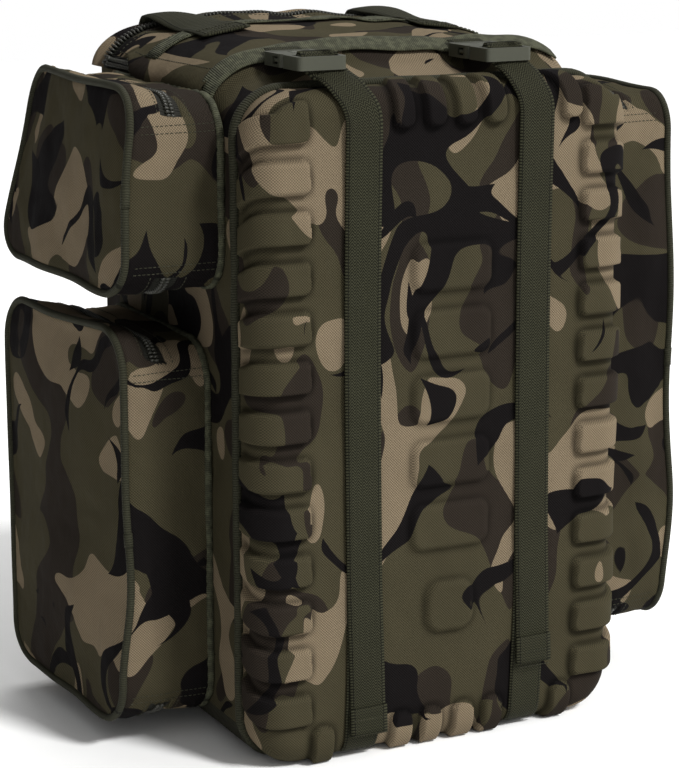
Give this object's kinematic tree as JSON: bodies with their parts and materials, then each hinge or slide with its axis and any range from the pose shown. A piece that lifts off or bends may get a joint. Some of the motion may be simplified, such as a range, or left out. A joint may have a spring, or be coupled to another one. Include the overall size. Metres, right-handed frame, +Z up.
{
  "type": "tackle backpack",
  "caption": "Boxy camouflage fishing rucksack with a moulded front panel, zipped domed lid, zipped side pockets, buckled front straps, carry handle and shoulder harness.",
  "frame": {"origin": "centre of the flat base, on the surface the bag stands on, midway between the side walls", "axes": "+Z up, the moulded front panel faces -Y, +X to the viewer's right when looking at the front"},
  "size_m": [0.555, 0.3708, 0.6149],
  "materials": {
    "camo_fabric": "woven polyester in a woodland camouflage print",
    "moulded_camo": "camouflage polyester laminated on pressed EVA foam",
    "back_fabric": "coarse olive woven polyester",
    "webbing": "olive ribbed webbing",
    "buckle_plastic": "satin olive acetal",
    "board": "black polyethylene sheet",
    "zip_tape": "black coil zip on woven tape",
    "zip_metal": "black enamelled die casting with a moulded grip",
    "air_mesh": "dark olive spacer mesh over foam"
  },
  "bodies": {
    "shell": {"front_panel": "moulded_camo", "base_panel": "back_fabric", "left_wall": "camo_fabric", "right_wall": "camo_fabric", "back_wall": "back_fabric", "top_front_panel": "camo_fabric", "rear_rim": "camo_fabric", "rim_zip": "zip_tape", "base_board": "board", "frame_sheet": "board", "left_front_strap": "webbing", "right_front_strap": "webbing", "left_buckle_socket": "buckle_plastic", "right_buckle_socket": "buckle_plastic", "left_buckle_tab": "webbing", "right_buckle_tab": "webbing", "back_pad_left": "air_mesh", "back_pad_right": "air_mesh", "lumbar_pad": "air_mesh", "strap_yoke": "webbing", "left_shoulder_strap": "back_fabric", "right_shoulder_strap": "back_fabric", "left_strap_adjuster": "buckle_plastic", "right_strap_adjuster": "buckle_plastic", "left_lower_webbing": "webbing", "right_lower_webbing": "webbing", "left_webbing_anchor": "webbing", "right_webbing_anchor": "webbing", "upper_left_pocket_tray": "camo_fabric", "upper_left_pocket_tray_zip": "zip_tape", "lower_left_pocket_tray": "camo_fabric", "lower_left_pocket_tray_zip": "zip_tape", "right_pocket_tray": "camo_fabric", "right_pocket_tray_zip": "zip_tape"},
    "lid": {"lid": "camo_fabric", "lid_zip": "zip_tape"},
    "carry_handle": {"handle_leg_left": "webbing", "handle_leg_right": "webbing", "handle_grip": "webbing"},
    "left_buckle": {"left_buckle_plug": "buckle_plastic", "left_strap_loop": "webbing"},
    "right_buckle": {"right_buckle_plug": "buckle_plastic", "right_strap_loop": "webbing"},
    "main_slider": {"main_zip_slider": "zip_metal"},
    "main_pull": {"main_zip_pull": "zip_metal"},
    "upper_left_pocket_flap": {"upper_left_pocket_door": "camo_fabric", "upper_left_pocket_door_zip": "zip_tape"},
    "upper_left_pocket_slider_body": {"upper_left_pocket_slider": "zip_metal"},
    "upper_left_pocket_pull_body": {"upper_left_pocket_pull": "zip_metal"},
    "lower_left_pocket_flap": {"lower_left_pocket_door": "camo_fabric", "lower_left_pocket_door_zip": "zip_tape"},
    "lower_left_pocket_slider_body": {"lower_left_pocket_slider": "zip_metal"},
    "lower_left_pocket_pull_body": {"lower_left_pocket_pull": "zip_metal"},
    "right_pocket_flap": {"right_pocket_door": "camo_fabric", "right_pocket_door_zip": "zip_tape"},
    "right_pocket_slider_body": {"right_pocket_slider": "zip_metal"},
    "right_pocket_pull_body": {"right_pocket_pull": "zip_metal"}
  },
  "joints": [
    {"name": "lid_hinge", "type": "hinge", "parent": "shell", "child": "lid", "pos_m": [0, -0.071, 0.5955], "axis": [1, 0, 0], "range_deg": [0, 105]},
    {"name": "handle_lift", "type": "hinge", "parent": "lid", "child": "carry_handle", "pos_m": [0, 0.0495, 0.6074], "axis": [1, 0, 0], "range_deg": [0, 100]},
    {"name": "left_buckle_release", "type": "slide", "parent": "shell", "child": "left_buckle", "axis": [0, -1, 0], "range_m": [0, 0.03]},
    {"name": "right_buckle_release", "type": "slide", "parent": "shell", "child": "right_buckle", "axis": [0, -1, 0], "range_m": [0, 0.03]},
    {"name": "main_zip_travel", "type": "slide", "parent": "shell", "child": "main_slider", "axis": [0, -1, 0], "range_m": [0, 0.13]},
    {"name": "main_pull_flip", "type": "hinge", "parent": "main_slider", "child": "main_pull", "pos_m": [0.1811, 0.095, 0.57], "axis": [0, 0, 1], "range_deg": [0, 170]},
    {"name": "upper_left_pocket_open", "type": "hinge", "parent": "shell", "child": "upper_left_pocket_flap", "pos_m": [-0.22145, -0.1075, 0.482], "axis": [0, 0, 1], "range_deg": [0, 100]},
    {"name": "upper_left_pocket_zip_travel", "type": "slide", "parent": "shell", "child": "upper_left_pocket_slider_body", "axis": [0, 0, 1], "range_m": [0, 0.032]},
    {"name": "upper_left_pocket_pull_swing", "type": "hinge", "parent": "upper_left_pocket_slider_body", "child": "upper_left_pocket_pull_body", "pos_m": [-0.22145, 0.1558, 0.484], "axis": [1, 0, 0], "range_deg": [0, 170]},
    {"name": "lower_left_pocket_open", "type": "hinge", "parent": "shell", "child": "lower_left_pocket_flap", "pos_m": [-0.22245, -0.0745, 0.187], "axis": [0, 0, 1], "range_deg": [0, 100]},
    {"name": "lower_left_pocket_zip_travel", "type": "slide", "parent": "shell", "child": "lower_left_pocket_slider_body", "axis": [0, 0, 1], "range_m": [0, 0.2]},
    {"name": "lower_left_pocket_pull_swing", "type": "hinge", "parent": "lower_left_pocket_slider_body", "child": "lower_left_pocket_pull_body", "pos_m": [-0.22245, 0.1558, 0.104], "axis": [1, 0, 0], "range_deg": [0, 170]},
    {"name": "right_pocket_open", "type": "hinge", "parent": "shell", "child": "right_pocket_flap", "pos_m": [0.22145, -0.1005, 0.297], "axis": [0, 0, -1], "range_deg": [0, 100]},
    {"name": "right_pocket_zip_travel", "type": "slide", "parent": "shell", "child": "right_pocket_slider_body", "axis": [0, 0, 1], "range_m": [0, 0.36]},
    {"name": "right_pocket_pull_swing", "type": "hinge", "parent": "right_pocket_slider_body", "child": "right_pocket_pull_body", "pos_m": [0.22145, 0.1558, 0.13], "axis": [1, 0, 0], "range_deg": [0, 170]}
  ]
}
